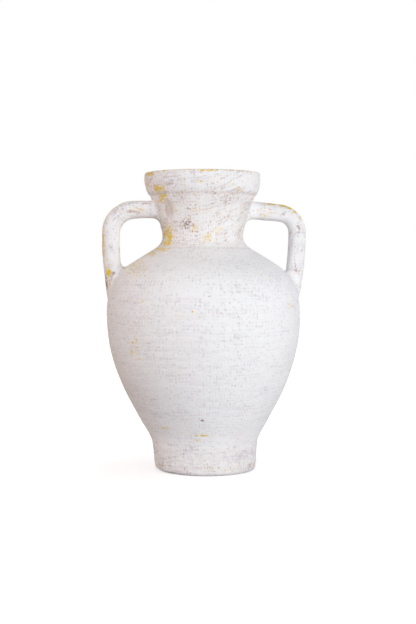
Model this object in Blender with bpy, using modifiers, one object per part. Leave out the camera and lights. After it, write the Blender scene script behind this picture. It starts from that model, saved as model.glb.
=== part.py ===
"""Two-handled urn vase in limewashed terracotta, modelled as the potter assembles it.

Five thrown rings stand on each other with a tongue in a groove at every seam. Two pulled handles reach
from the neck to the shoulder, and a lute of soft clay is pressed round each of their four roots.
The vase stands on the origin with +Z up and its handles along X.
"""

import math

import bmesh
import bpy
import numpy as np
from mathutils import Matrix

# Heights of the thrown rings, from the table up, in metres
FOOT_HEIGHT = 0.042
LOWER_BELLY_HEIGHT = 0.165
SHOULDER_HEIGHT = 0.092
NECK_HEIGHT = 0.0715
RIM_HEIGHT = 0.0295

# Outer radii, in metres
FOOT_RADIUS = 0.0669
FOOT_SEAM_RADIUS = 0.0720
BELLY_RADIUS = 0.1302
NECK_SEAM_RADIUS = 0.0643
THROAT_RADIUS = 0.0540
RIM_RADIUS = 0.0779

# Leans of the walls from the vertical, in degrees, and how far each wall keeps its lean
FOOT_LEAN = 7.0
FOOT_SEAM_LEAN = 25.0
NECK_SEAM_LEAN = -57.0
FLARE_LEAN = 32.0
RIM_SEAM_LEAN = 36.0
FOOT_PULL = 0.010
LOWER_BELLY_PULL = 0.044
BELLY_PULL = 0.077
SHOULDER_PULL = 0.061
NECK_SEAM_PULL = 0.051
THROAT_PULL = 0.008
FLARE_PULL = 0.013
RIM_PULL = 0.007

# The throat and the rim's band, measured from the seam under each
THROAT_RISE = 0.017
RIM_BAND_RISE = 0.0205
RIM_INSET = 0.0057
RIM_OVERHANG = 0.001

# Thickness of the clay, and its rounded edges
WALL = 0.009
FLOOR = 0.012
LIP_WIDTH = 0.013
FOOT_ROUND = 0.006
LIP_ROUND = 0.004
FLOOR_ROUND = 0.012

# Seams: a tongue on each ring seats in a groove of the next one up
SEAM_GAP = 0.0003
TONGUE_WIDTH = 0.004
TONGUE_HEIGHT = 0.003
TONGUE_DRAFT = 0.0006

# Handles
HANDLE_THICKNESS = 0.0234
HANDLE_BREADTH = 0.0270
HANDLE_BELOW_RIM = 0.022
HANDLE_DROOP = 4.0
HANDLE_BEND = 0.021
HANDLE_STAND_OUT = 0.0065
HANDLE_ROOT_RISE = 0.016
HANDLE_ROOT_DEPTH = 0.002

# Lutes: how far the soft clay spreads round the handle and sags under it, the share of the spread that is
# left where the handle stands clear of the wall, how far it runs up to there and on, and how it thins out
LUTE_SPREAD = 0.0045
LUTE_SAG = 0.0025
LUTE_GRIP = 0.78
LUTE_CLEAR = 0.004
LUTE_RUN = 0.014
LUTE_FEATHER = 0.0006

# Facets
TURN_STEPS = 48
BAR_RESOLUTION = 6
LONG_WALL_POINTS = 9
SHORT_WALL_POINTS = 6
ROUND_POINTS = 4
BEND_POINTS = 8
SIDE_POINTS = 14
LUTE_POINTS = 5
SEARCH_POINTS = 400
WELD = 0.00001

# Colours of the limewash
BODY_COLOUR = (0.82, 0.80, 0.79, 1.0)
FOOT_COLOUR = (0.78, 0.75, 0.74, 1.0)
RIM_COLOUR = (0.82, 0.79, 0.73, 1.0)
HANDLE_COLOUR = (0.84, 0.83, 0.83, 1.0)
LUTE_COLOUR = (0.80, 0.78, 0.76, 1.0)
CHALKY_ROUGHNESS = 0.9

# Seams and rings worked out from those sizes
FOOT_SEAM = FOOT_HEIGHT
BELLY_SEAM = FOOT_SEAM + LOWER_BELLY_HEIGHT
NECK_SEAM = BELLY_SEAM + SHOULDER_HEIGHT
RIM_SEAM = NECK_SEAM + NECK_HEIGHT
LIP = RIM_SEAM + RIM_HEIGHT
RIM_SEAM_RADIUS = RIM_RADIUS - RIM_INSET
NECK_TOP_RADIUS = RIM_SEAM_RADIUS - RIM_OVERHANG
HANDLE_REACH = BELLY_RADIUS + HANDLE_STAND_OUT
HANDLE_HALF = HANDLE_THICKNESS / 2


def clear_scene():
    for obj in list(bpy.data.objects):
        bpy.data.objects.remove(obj)


def collection(name):
    made = bpy.data.collections.new(name)
    bpy.context.scene.collection.children.link(made)
    return made


def limewash(name, colour):
    """A matt, chalky coat."""
    material = bpy.data.materials.new(name)
    material.use_nodes = True
    shader = material.node_tree.nodes["Principled BSDF"]
    shader.inputs["Base Color"].default_value = colour
    shader.inputs["Roughness"].default_value = CHALKY_ROUGHNESS
    shader.inputs["Metallic"].default_value = 0.0
    material.diffuse_color = colour
    return material


# Outlines: arrays of (radius, height) points, from the table up


def heading(lean):
    """The direction of a wall that leans outwards by this many degrees as it rises."""
    return np.array([math.sin(math.radians(lean)), math.cos(math.radians(lean))])


def wall_curve(low, low_lean, low_pull, high, high_lean, high_pull, count):
    """A wall that leaves the low ring at one lean and reaches the high ring at another."""
    low, high = np.array(low), np.array(high)
    after_low = low + low_pull * heading(low_lean)
    before_high = high - high_pull * heading(high_lean)
    t = np.linspace(0.0, 1.0, count)[:, None]
    start = (1 - t) ** 3 * low + 3 * (1 - t) ** 2 * t * after_low
    return start + 3 * (1 - t) * t**2 * before_high + t**3 * high


def arc(centre, radius, start, end, count):
    """An arc between two angles, in degrees up from the outward direction."""
    angle = np.radians(np.linspace(start, end, count))[:, None]
    return np.array(centre) + radius * np.hstack([np.cos(angle), np.sin(angle)])


def foot_wall():
    edge = arc((FOOT_RADIUS - FOOT_ROUND, FOOT_ROUND), FOOT_ROUND, -90.0, -FOOT_LEAN, ROUND_POINTS)
    seam = (FOOT_SEAM_RADIUS, FOOT_SEAM)
    side = wall_curve(edge[-1], FOOT_LEAN, FOOT_PULL, seam, FOOT_SEAM_LEAN, FOOT_PULL, SHORT_WALL_POINTS)
    return np.vstack([edge, side[1:]])


def lower_belly_wall():
    low, high = (FOOT_SEAM_RADIUS, FOOT_SEAM), (BELLY_RADIUS, BELLY_SEAM)
    return wall_curve(low, FOOT_SEAM_LEAN, LOWER_BELLY_PULL, high, 0.0, BELLY_PULL, LONG_WALL_POINTS)


def shoulder_wall():
    low, high = (BELLY_RADIUS, BELLY_SEAM), (NECK_SEAM_RADIUS, NECK_SEAM)
    return wall_curve(low, 0.0, SHOULDER_PULL, high, NECK_SEAM_LEAN, NECK_SEAM_PULL, LONG_WALL_POINTS)


def neck_wall():
    low, throat = (NECK_SEAM_RADIUS, NECK_SEAM), (THROAT_RADIUS, NECK_SEAM + THROAT_RISE)
    high = (NECK_TOP_RADIUS, RIM_SEAM)
    hollow = wall_curve(low, NECK_SEAM_LEAN, THROAT_PULL, throat, 0.0, THROAT_PULL, SHORT_WALL_POINTS)
    flare = wall_curve(throat, 0.0, THROAT_PULL, high, FLARE_LEAN, FLARE_PULL, SHORT_WALL_POINTS)
    return np.vstack([hollow, flare[1:]])


def rim_wall():
    low, band = (RIM_SEAM_RADIUS, RIM_SEAM), (RIM_RADIUS, RIM_SEAM + RIM_BAND_RISE)
    flare = wall_curve(low, RIM_SEAM_LEAN, RIM_PULL, band, 0.0, RIM_PULL, SHORT_WALL_POINTS)
    edge = arc((RIM_RADIUS - LIP_ROUND, LIP - LIP_ROUND), LIP_ROUND, 0.0, 90.0, ROUND_POINTS)
    return np.vstack([flare, edge])


def body_wall():
    """The outside of the four rings under the rim."""
    return np.vstack([foot_wall(), lower_belly_wall()[1:], shoulder_wall()[1:], neck_wall()[1:]])


def moved_out(outline, distance):
    """The outline moved along its own normals, outwards for a positive distance."""
    way = np.gradient(outline, axis=0)
    way /= np.linalg.norm(way, axis=1)[:, None]
    return outline + distance * np.stack([way[:, 1], -way[:, 0]], axis=1)


def radius_at(outline, height):
    return np.interp(height, outline[:, 1], outline[:, 0])


def outer_radius(height):
    return radius_at(np.vstack([body_wall(), rim_wall()]), height)


def inner_wall(low, high, count):
    """The inside of the rings under the rim, between two heights."""
    inside = moved_out(body_wall(), -WALL)
    inside = inside[np.argsort(inside[:, 1])]
    heights = np.linspace(low, high, count)
    return np.stack([radius_at(inside, heights), heights], axis=1)


def inner_radius(height):
    return inner_wall(height, height, 1)[0, 0]


def seam_key(seam, gap):
    """The tongue's corners from the inside out; with a gap it is the groove that takes the tongue."""
    tip = seam + TONGUE_HEIGHT
    outside = min(outer_radius(seam), outer_radius(tip))
    inside = max(inner_radius(seam), inner_radius(min(tip, RIM_SEAM)))
    middle = (outside + inside) / 2
    base, top = TONGUE_WIDTH / 2 + gap, TONGUE_WIDTH / 2 + gap - TONGUE_DRAFT
    low, high = seam + gap, tip + gap
    return np.array([(middle - base, low), (middle - top, high), (middle + top, high), (middle + base, low)])


def ring_outline(outer, inner, low_seam, high_seam):
    """A thrown ring's outline, down its outside and up its inside, keyed at the seams that it has."""
    outside, inside = outer.copy(), inner.copy()
    stretches = [outside[::-1], inside]
    if low_seam is not None:
        outside[0, 1] += SEAM_GAP
        inside[0, 1] += SEAM_GAP
        stretches.insert(1, seam_key(low_seam, SEAM_GAP)[::-1])
    if high_seam is not None:
        stretches.append(seam_key(high_seam, 0.0))
    return np.vstack(stretches)


def foot_outline():
    """From the middle of the floor inside, over the wall, to the middle of the underside."""
    wall = inner_wall(FLOOR + FLOOR_ROUND, FOOT_SEAM, ROUND_POINTS)
    bowl = arc((wall[0, 0] - FLOOR_ROUND, FLOOR + FLOOR_ROUND), FLOOR_ROUND, -90.0, 0.0, ROUND_POINTS)
    inside = np.vstack([[(0.0, FLOOR)], bowl, wall[1:]])
    return np.vstack([inside, seam_key(FOOT_SEAM, 0.0), foot_wall()[::-1], [(0.0, 0.0)]])


def lower_belly_outline():
    inside = inner_wall(FOOT_SEAM, BELLY_SEAM, SHORT_WALL_POINTS)
    return ring_outline(lower_belly_wall(), inside, FOOT_SEAM, BELLY_SEAM)


def shoulder_outline():
    inside = inner_wall(BELLY_SEAM, NECK_SEAM, LONG_WALL_POINTS)
    return ring_outline(shoulder_wall(), inside, BELLY_SEAM, NECK_SEAM)


def neck_outline():
    inside = inner_wall(NECK_SEAM, RIM_SEAM, SHORT_WALL_POINTS)
    return ring_outline(neck_wall(), inside, NECK_SEAM, RIM_SEAM)


def rim_outline():
    mouth = RIM_RADIUS - LIP_WIDTH
    edge = arc((mouth + LIP_ROUND, LIP - LIP_ROUND), LIP_ROUND, 180.0, 90.0, ROUND_POINTS)
    inside = np.vstack([[(inner_radius(RIM_SEAM), RIM_SEAM)], edge])
    return ring_outline(rim_wall(), inside, RIM_SEAM, None)


def handle_path():
    """The handle's centreline: out from the neck, round the bend, then down a slow arc into the shoulder."""
    slope = math.tan(math.radians(HANDLE_DROOP))
    neck_height = RIM_SEAM - HANDLE_BELOW_RIM
    neck_radius = outer_radius(neck_height)
    inside_neck = THROAT_RADIUS - WALL
    start = (inside_neck, neck_height + (neck_radius - inside_neck) * slope)

    bend_middle = HANDLE_REACH - HANDLE_HALF - HANDLE_BEND
    bend_start = bend_middle + HANDLE_BEND * math.sin(math.radians(HANDLE_DROOP))
    bend_top = neck_height - (bend_start - neck_radius) * slope
    bend_centre = (bend_middle, bend_top - HANDLE_BEND * math.cos(math.radians(HANDLE_DROOP)))
    bend = arc(bend_centre, HANDLE_BEND, 90.0 - HANDLE_DROOP, 0.0, BEND_POINTS)

    root_height = BELLY_SEAM + HANDLE_ROOT_RISE
    root_radius = outer_radius(root_height) - HANDLE_ROOT_DEPTH - HANDLE_HALF
    inward, down = bend[-1] - (root_radius, root_height)
    side_radius = (inward**2 + down**2) / (2 * inward)
    side_sweep = 2 * math.degrees(math.atan2(inward, down))
    side_centre = (bend[-1, 0] - side_radius, bend[-1, 1])
    side = arc(side_centre, side_radius, 0.0, -side_sweep, SIDE_POINTS)
    return np.vstack([[start], bend, side[1:]])


def along(path, distances):
    """Points at these distances from the start of a path."""
    steps = np.linalg.norm(np.diff(path, axis=0), axis=1)
    gone = np.concatenate([[0.0], np.cumsum(steps)])
    return np.stack([np.interp(distances, gone, path[:, i]) for i in (0, 1)], axis=1)


def leaves_wall(path, depth):
    """How far along a path, that starts in the wall, it stands clear of the wall by this depth."""
    length = np.linalg.norm(np.diff(path, axis=0), axis=1).sum()
    distances = np.linspace(0.0, length, SEARCH_POINTS)
    points = along(path, distances)
    clear = points[:, 0] - depth > outer_radius(points[:, 1])
    return distances[np.argmax(clear)]


def clear_of_neck(path):
    """How far along its centreline the handle is clear of the neck at its top, middle and bottom."""
    rises = (HANDLE_HALF, 0.0, -HANDLE_HALF)
    return max(leaves_wall(path + np.array([0.0, rise]), 0.0) for rise in rises)


def lute_path(path, clear, shift):
    """A lute's centreline, moved by the shift where it leaves the wall, and its radius all along.

    It has its whole spread at the root, its grip where the handle is clear of the wall, and none at its end.
    """
    root, end = clear - LUTE_CLEAR, clear + LUTE_RUN
    in_wall = np.linspace(0.0, root, LUTE_POINTS)
    on_handle = np.linspace(clear, end, LUTE_POINTS)
    distances = np.concatenate([in_wall, on_handle])
    share = np.interp(distances, [root, clear, end], [1.0, LUTE_GRIP, 0.0]) ** 2
    radii = HANDLE_HALF - LUTE_FEATHER + share * (LUTE_SPREAD + LUTE_FEATHER)
    return along(path, distances) + share[:, None] * np.array(shift), radii


# Solids


def turned(name, outline, closed, home):
    """A solid turned from an outline that runs down its outside."""
    count = len(outline)
    edges = [(i, (i + 1) % count) for i in range(count if closed else count - 1)]
    mesh = bpy.data.meshes.new(name)
    mesh.from_pydata([(radius, 0.0, height) for radius, height in outline], edges, [])
    obj = bpy.data.objects.new(name, mesh)
    home.objects.link(obj)
    screw = obj.modifiers.new("Turn", "SCREW")
    screw.axis = "Z"
    screw.angle = 2 * math.pi
    screw.steps = TURN_STEPS
    screw.render_steps = TURN_STEPS
    screw.use_merge_vertices = True
    screw.merge_threshold = WELD
    screw.use_smooth_shade = True
    return obj


def thrown_ring(name, outline, closed, colour, home):
    obj = turned(name, outline, closed, home)
    obj.data.materials.append(limewash("limewashed_" + name, colour))
    return obj


def bar(name, path, radii, home):
    """A mesh of a round bar along a path in the XZ plane, spread along Y to the handle's breadth."""
    curve = bpy.data.curves.new(name, "CURVE")
    curve.dimensions = "3D"
    curve.bevel_depth = HANDLE_HALF
    curve.bevel_resolution = BAR_RESOLUTION
    curve.use_fill_caps = True
    spline = curve.splines.new("POLY")
    spline.points.add(len(path) - 1)
    for point, (x, z), radius in zip(spline.points, path, radii):
        point.co = (x, 0.0, z, 1.0)
        point.radius = radius / curve.bevel_depth
    rod = bpy.data.objects.new(name, curve)
    home.objects.link(rod)
    graph = bpy.context.evaluated_depsgraph_get()
    mesh = bpy.data.meshes.new_from_object(rod.evaluated_get(graph))
    mesh.transform(rod.matrix_world)
    bpy.data.objects.remove(rod)

    shape = bmesh.new()
    shape.from_mesh(mesh)
    bmesh.ops.remove_doubles(shape, verts=shape.verts, dist=WELD)
    bmesh.ops.recalc_face_normals(shape, faces=shape.faces)
    shape.to_mesh(mesh)
    shape.free()
    mesh.transform(Matrix.Diagonal((1.0, HANDLE_BREADTH / HANDLE_THICKNESS, 1.0, 1.0)))
    mesh.name = name
    mesh.shade_smooth()
    return mesh


def as_cutter(obj):
    obj.hide_render = True
    obj.display_type = "WIRE"
    return obj


def body_cutter(home):
    """The whole vase as a plain solid, larger by the seam gap, which shapes what is pressed onto it."""
    skin = moved_out(np.vstack([body_wall(), rim_wall()[1:]]), SEAM_GAP)
    outline = np.vstack([[(0.0, skin[0, 1])], skin, [(0.0, skin[-1, 1])]])
    return as_cutter(turned("body_cutter", outline[::-1], False, home))


def placed(name, mesh, turn, home):
    """A mesh on the right of the vase, or turned about its axis to the left."""
    obj = bpy.data.objects.new(name, mesh)
    obj.rotation_euler = (0.0, 0.0, turn)
    home.objects.link(obj)
    return obj


def pressed(name, mesh, cutters, turn, home):
    """A piece of soft clay that takes its ends from what it is pressed onto."""
    obj = placed(name, mesh, turn, home)
    for cutter in cutters:
        cut = obj.modifiers.new("Meets " + cutter.name, "BOOLEAN")
        cut.operation = "DIFFERENCE"
        cut.solver = "EXACT"
        cut.object = cutter
    return obj


def thrown_rings(home):
    return [
        thrown_ring("foot", foot_outline(), False, FOOT_COLOUR, home),
        thrown_ring("lower_belly", lower_belly_outline(), True, BODY_COLOUR, home),
        thrown_ring("shoulder", shoulder_outline(), True, BODY_COLOUR, home),
        thrown_ring("neck", neck_outline(), True, BODY_COLOUR, home),
        thrown_ring("rim", rim_outline(), True, RIM_COLOUR, home),
    ]


def handles_and_lutes(home, cutter_home):
    path = handle_path()
    back = path[::-1]
    neck_sag = (0.0, -LUTE_SAG)
    behind_handle = (-LUTE_SPREAD - LUTE_FEATHER, 0.0)
    neck_lute_path = lute_path(path, clear_of_neck(path), neck_sag)
    shoulder_lute_path = lute_path(back, leaves_wall(back, HANDLE_HALF) + LUTE_CLEAR, behind_handle)

    handle = bar("handle", path, [HANDLE_HALF] * len(path), home)
    handle_space = bar("handle_space", path, [HANDLE_HALF + SEAM_GAP] * len(path), home)
    neck_lute = bar("neck_lute", *neck_lute_path, home)
    shoulder_lute = bar("shoulder_lute", *shoulder_lute_path, home)
    handle.materials.append(limewash("limewashed_handle", HANDLE_COLOUR))
    neck_lute.materials.append(limewash("limewashed_neck_lute", LUTE_COLOUR))
    shoulder_lute.materials.append(limewash("limewashed_shoulder_lute", LUTE_COLOUR))

    body = body_cutter(cutter_home)
    pieces = []
    for side, turn in (("right", 0.0), ("left", math.pi)):
        space = as_cutter(placed(side + "_handle_space", handle_space, turn, cutter_home))
        pieces.append(pressed(side + "_handle", handle, [body], turn, home))
        pieces.append(pressed(side + "_neck_lute", neck_lute, [space, body], turn, home))
        pieces.append(pressed(side + "_shoulder_lute", shoulder_lute, [space, body], turn, home))
    return pieces


def main():
    clear_scene()
    parts = collection("urn_vase")
    cutters = collection("cutters")
    vase = bpy.data.objects.new("urn_vase", None)
    parts.objects.link(vase)
    for piece in thrown_rings(parts) + handles_and_lutes(parts, cutters):
        piece.parent = vase


main()
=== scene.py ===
"""Looks of the limewashed urn vase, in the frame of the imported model.

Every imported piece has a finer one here: the thrown rings with the lean, lumps and creases of a pot made by
hand, the two pulled handles, and the lutes smeared round their roots. All of them are shaped upright and
then pass through the same lean. Positions are in metres, with +Z up and the photograph's viewer on the -Y
side.
"""

import math

import bpy
import numpy as np
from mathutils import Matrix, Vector


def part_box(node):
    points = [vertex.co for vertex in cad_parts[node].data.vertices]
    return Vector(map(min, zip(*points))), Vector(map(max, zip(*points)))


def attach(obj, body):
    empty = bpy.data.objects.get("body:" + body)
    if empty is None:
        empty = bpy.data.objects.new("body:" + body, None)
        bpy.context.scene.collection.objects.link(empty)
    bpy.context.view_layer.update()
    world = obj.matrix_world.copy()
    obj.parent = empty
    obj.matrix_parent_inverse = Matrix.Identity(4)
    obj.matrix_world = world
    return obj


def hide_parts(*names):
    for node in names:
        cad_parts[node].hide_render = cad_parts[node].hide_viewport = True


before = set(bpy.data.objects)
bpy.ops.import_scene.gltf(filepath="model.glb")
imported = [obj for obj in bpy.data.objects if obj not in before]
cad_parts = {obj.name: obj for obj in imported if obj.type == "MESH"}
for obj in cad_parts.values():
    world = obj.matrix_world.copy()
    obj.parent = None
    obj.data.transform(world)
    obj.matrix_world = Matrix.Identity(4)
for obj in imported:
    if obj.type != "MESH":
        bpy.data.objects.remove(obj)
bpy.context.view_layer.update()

# Seams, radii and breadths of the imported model
SEAM_GAP = 0.0003


def seam_under(node):
    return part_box(node)[0].z - SEAM_GAP


FOOT_SEAM = seam_under("lower_belly")
BELLY_SEAM = seam_under("shoulder")
NECK_SEAM = seam_under("neck")
RIM_SEAM = seam_under("rim")
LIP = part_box("rim")[1].z
FOOT_SEAM_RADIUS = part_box("foot")[1].x
BELLY_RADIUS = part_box("shoulder")[1].x
NECK_TOP_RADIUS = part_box("neck")[1].x
RIM_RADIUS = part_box("rim")[1].x
HANDLE_BREADTH = 2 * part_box("right_handle")[1].y

# The rest of the outline: radii, leans in degrees, and how far each wall keeps its lean
FOOT_RADIUS = 0.0669
NECK_SEAM_RADIUS = 0.0643
THROAT_RADIUS = 0.0540
FOOT_LEAN = 7.0
FOOT_SEAM_LEAN = 25.0
NECK_SEAM_LEAN = -57.0
FLARE_LEAN = 32.0
RIM_SEAM_LEAN = 36.0
FOOT_PULL = 0.010
LOWER_BELLY_PULL = 0.044
BELLY_PULL = 0.077
SHOULDER_PULL = 0.061
NECK_SEAM_PULL = 0.051
THROAT_PULL = 0.008
FLARE_PULL = 0.013
RIM_PULL = 0.007
THROAT_RISE = 0.017
RIM_BAND_RISE = 0.0205
RIM_INSET = 0.0057
WALL = 0.009
FLOOR = 0.012
LIP_WIDTH = 0.013
FOOT_ROUND = 0.006
LIP_ROUND = 0.004
LIP_EDGE = 0.0024
FLOOR_ROUND = 0.012
TONGUE_WIDTH = 0.004
TONGUE_HEIGHT = 0.003
TONGUE_DRAFT = 0.0006
RIM_SEAM_RADIUS = RIM_RADIUS - RIM_INSET

# Handles, upright
HANDLE_HALF = 0.0117
OUTER_SQUARENESS = 2.2
INNER_SQUARENESS = 2.6
HANDLE_HEIGHT = RIM_SEAM - 0.0195
HANDLE_ROOT_RISE = 0.016
HANDLE_ROOT_DEPTH = 0.002
HANDLE_SUNK = 0.004

# Lutes. Sizes are those at the handle's outer side, at its flanks and at its inner side. At the shoulder a
# lute runs further along the handle than its size
NECK_LUTE = (0.0016, 0.0050, 0.0090)
SHOULDER_LUTE_RUN = 1.4
LEAST_LUTE = 0.0012
LEAST_SPREAD = 0.2
LUTE_DEPTH = 0.0012
LUTE_SUNK = 0.00025

# Each handle: its side, its reach, droop in degrees and bend, its lute at the shoulder, and its seed. The
# left one stands out less than the right one, droops less and has a wider bend
HANDLES = (
    ("left", (0.1356, 1.5, 0.032), (0.0012, 0.0070, 0.0125), 20),
    ("right", (0.1406, 5.0, 0.026), (0.0012, 0.0070, 0.0060), 40),
)

# The lean of the whole pot, and the tilt of its mouth
LEAN_SLOPE = 0.0144
LEAN_EASE = 0.0124
MOUTH_TILT = 0.0015

# Fineness of the meshes, and the angles in degrees from which their edges are sharp
TURN_STEPS = 400
ROW = 0.0013
FINE_ROW = 0.0009
INNER_ROW = 0.006
SECTION_STEPS = 56
HANDLE_ROW = 0.0016
LUTE_STEPS = 72
FILLET_STEPS = 9
CURVE_POINTS = 120
ROUND_POINTS = 7
RING_SHARP = 42.0
HANDLE_SHARP = 50.0
LUTE_SHARP = 60.0

# The camera of the photograph
CAMERA_AZIMUTH = -6.0
CAMERA_DISTANCE = 1.72
CAMERA_HEIGHT = 0.268
AIM_HEIGHT = 0.2131
AIM_RIGHT = 0.0037
LENS = 73.4


def full_turn(count):
    return np.linspace(0.0, 2 * math.pi, count, endpoint=False)


def joined(*coordinates):
    return np.stack(np.broadcast_arrays(*coordinates), axis=-1)


def unit(vectors):
    return vectors / np.linalg.norm(vectors, axis=-1, keepdims=True)


def around_axis(radius, angle, *height):
    return joined(radius * np.cos(angle), radius * np.sin(angle), *height)


# Outlines: arrays of (radius, height) points


def heading(lean):
    return np.array([math.sin(math.radians(lean)), math.cos(math.radians(lean))])


def wall_curve(low, low_lean, low_pull, high, high_lean, high_pull):
    """A wall that leaves the low ring at one lean and reaches the high ring at another."""
    low, high = np.array(low), np.array(high)
    after_low = low + low_pull * heading(low_lean)
    before_high = high - high_pull * heading(high_lean)
    t = np.linspace(0.0, 1.0, CURVE_POINTS)[:, None]
    start = (1 - t) ** 3 * low + 3 * (1 - t) ** 2 * t * after_low
    return start + 3 * (1 - t) * t**2 * before_high + t**3 * high


def arc(centre, radius, start, end, count=CURVE_POINTS):
    """An arc between two angles, in degrees up from the outward direction."""
    angle = np.radians(np.linspace(start, end, count))[:, None]
    return np.array(centre) + radius * np.hstack([np.cos(angle), np.sin(angle)])


def lengths_along(outline):
    """How far along the outline each of its points lies."""
    return np.concatenate([[0.0], np.cumsum(np.linalg.norm(np.diff(outline, axis=0), axis=1))])


def even(outline, spacing):
    """The same outline with its points evenly spaced."""
    gone = lengths_along(outline)
    distances = np.linspace(0.0, gone[-1], max(2, math.ceil(gone[-1] / spacing) + 1))
    return np.stack([np.interp(distances, gone, outline[:, i]) for i in (0, 1)], axis=1)


def foot_wall():
    edge = arc((FOOT_RADIUS - FOOT_ROUND, FOOT_ROUND), FOOT_ROUND, -90.0, -FOOT_LEAN)
    seam = (FOOT_SEAM_RADIUS, FOOT_SEAM)
    side = wall_curve(edge[-1], FOOT_LEAN, FOOT_PULL, seam, FOOT_SEAM_LEAN, FOOT_PULL)
    return np.vstack([edge, side[1:]])


def lower_belly_wall():
    low, high = (FOOT_SEAM_RADIUS, FOOT_SEAM), (BELLY_RADIUS, BELLY_SEAM)
    return wall_curve(low, FOOT_SEAM_LEAN, LOWER_BELLY_PULL, high, 0.0, BELLY_PULL)


def shoulder_wall():
    low, high = (BELLY_RADIUS, BELLY_SEAM), (NECK_SEAM_RADIUS, NECK_SEAM)
    return wall_curve(low, 0.0, SHOULDER_PULL, high, NECK_SEAM_LEAN, NECK_SEAM_PULL)


def neck_wall():
    low, throat = (NECK_SEAM_RADIUS, NECK_SEAM), (THROAT_RADIUS, NECK_SEAM + THROAT_RISE)
    hollow = wall_curve(low, NECK_SEAM_LEAN, THROAT_PULL, throat, 0.0, THROAT_PULL)
    flare = wall_curve(throat, 0.0, THROAT_PULL, (NECK_TOP_RADIUS, RIM_SEAM), FLARE_LEAN, FLARE_PULL)
    return np.vstack([hollow, flare[1:]])


def rim_wall():
    low, band = (RIM_SEAM_RADIUS, RIM_SEAM), (RIM_RADIUS, RIM_SEAM + RIM_BAND_RISE)
    flare = wall_curve(low, RIM_SEAM_LEAN, RIM_PULL, band, 0.0, RIM_PULL)
    edge = arc((RIM_RADIUS - LIP_EDGE, LIP - LIP_EDGE), LIP_EDGE, 0.0, 90.0)
    return np.vstack([flare, edge])


BODY_WALL = np.vstack([foot_wall(), lower_belly_wall()[1:], shoulder_wall()[1:], neck_wall()[1:]])
WHOLE_WALL = np.vstack([BODY_WALL, rim_wall()])


def moved_out(outline, distance):
    way = unit(np.gradient(outline, axis=0))
    return outline + distance * np.stack([way[:, 1], -way[:, 0]], axis=1)


INSIDE_WALL = moved_out(BODY_WALL, -WALL)
INSIDE_WALL = INSIDE_WALL[np.argsort(INSIDE_WALL[:, 1])]


def outer_radius(height):
    return np.interp(height, WHOLE_WALL[:, 1], WHOLE_WALL[:, 0])


def inner_radius(height):
    return np.interp(height, INSIDE_WALL[:, 1], INSIDE_WALL[:, 0])


def inner_wall(low, high):
    heights = np.linspace(low, high, CURVE_POINTS)
    return even(np.stack([inner_radius(heights), heights], axis=1), INNER_ROW)


def seam_key(seam, gap):
    """The tongue's corners from the inside out; with a gap it is the groove that takes the tongue."""
    tip = seam + TONGUE_HEIGHT
    outside = min(outer_radius(seam), outer_radius(tip))
    inside = max(inner_radius(seam), inner_radius(min(tip, RIM_SEAM)))
    middle = (outside + inside) / 2
    base, top = TONGUE_WIDTH / 2 + gap, TONGUE_WIDTH / 2 + gap - TONGUE_DRAFT
    high = tip + gap
    corners = [(middle - base, seam), (middle - top, high), (middle + top, high), (middle + base, seam)]
    return np.array(corners)


# Noise


def lattice(cells, seed):
    """A repeatable value from -1 to 1 for every whole-numbered cell."""
    mixed = cells[..., 0] * 374761393 + cells[..., 1] * 668265263 + cells[..., 2] * 1103515245
    mixed = mixed + seed * 144665
    mixed = (mixed ^ (mixed >> 13)) * 1274126177
    return ((mixed ^ (mixed >> 16)) & 0xFFFF) / 32767.5 - 1.0


def uneven(points, seed):
    """Smooth noise from -1 to 1, one swell to a unit of length."""
    low = np.floor(points).astype(np.int64)
    part = points - low
    part = part * part * (3.0 - 2.0 * part)
    total = np.zeros(points.shape[:-1])
    for corner in np.ndindex(2, 2, 2):
        share = np.prod(np.where(np.array(corner), part, 1.0 - part), axis=-1)
        total += share * lattice(low + np.array(corner), seed)
    return total


def swells(points, kinds, seed=0):
    """Noise of several kinds added up: each has its rise, its swells to a metre and its own seed."""
    return sum(rise * uneven(points * grain, seed + own_seed) for rise, grain, own_seed in kinds)


def smooth_step(low, high, value):
    share = np.clip((value - low) / (high - low), 0.0, 1.0)
    return share * share * (3.0 - 2.0 * share)


def bell(value, middle, width):
    return np.exp(-(((value - middle) / width) ** 2))


# Unevenness of the outside. The kinds of noise are given as swells takes them
LUMPS = ((0.0008, 15.0, 1), (0.0003, 48.0, 2))
RING_WANDER = ((1.6, 18.0, 3),)
PATCHES = ((1.0, 30.0, 4),)
GROOVE_PATCHES = ((1.0, 26.0, 5),)
CHIPS = ((1.0, 95.0, 6),)
BRUSH_MARKS = ((0.00026, (55.0, 55.0, 230.0), 8), (0.00012, 260.0, 9))
BRUSH_ZONE = (NECK_SEAM, NECK_SEAM + 0.012)
RING_RISE = 0.00013
RING_SPACING = 0.0105
RING_STEADY = 0.6
RING_PATCHY = 0.4
FOOT_SWELL = 0.0012
FOOT_SWELL_ZONE = (FOOT_SEAM + 0.004, FOOT_SEAM - 0.012)
WAIST_DEPTH = 0.0006
WAIST_LINE = (FOOT_SEAM + 0.011, 0.008)
FOOT_WEAR_DEPTH = 0.0030
FOOT_WEAR_LINE = (0.0, 0.0035)
FOOT_WEAR_SIDE = (0.2, 0.9)
CHIP_DEPTH = 0.0030
CHIP_LEVEL = 0.35
FOOT_CHIP_LINE = (0.0, 0.0045)
LIP_CHIP_LINE = (LIP, 0.003)
LIP_CHIP_SHARE = 0.5
PAD_RISE = 0.0006
DENT_DEPTH = 0.0006

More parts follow.
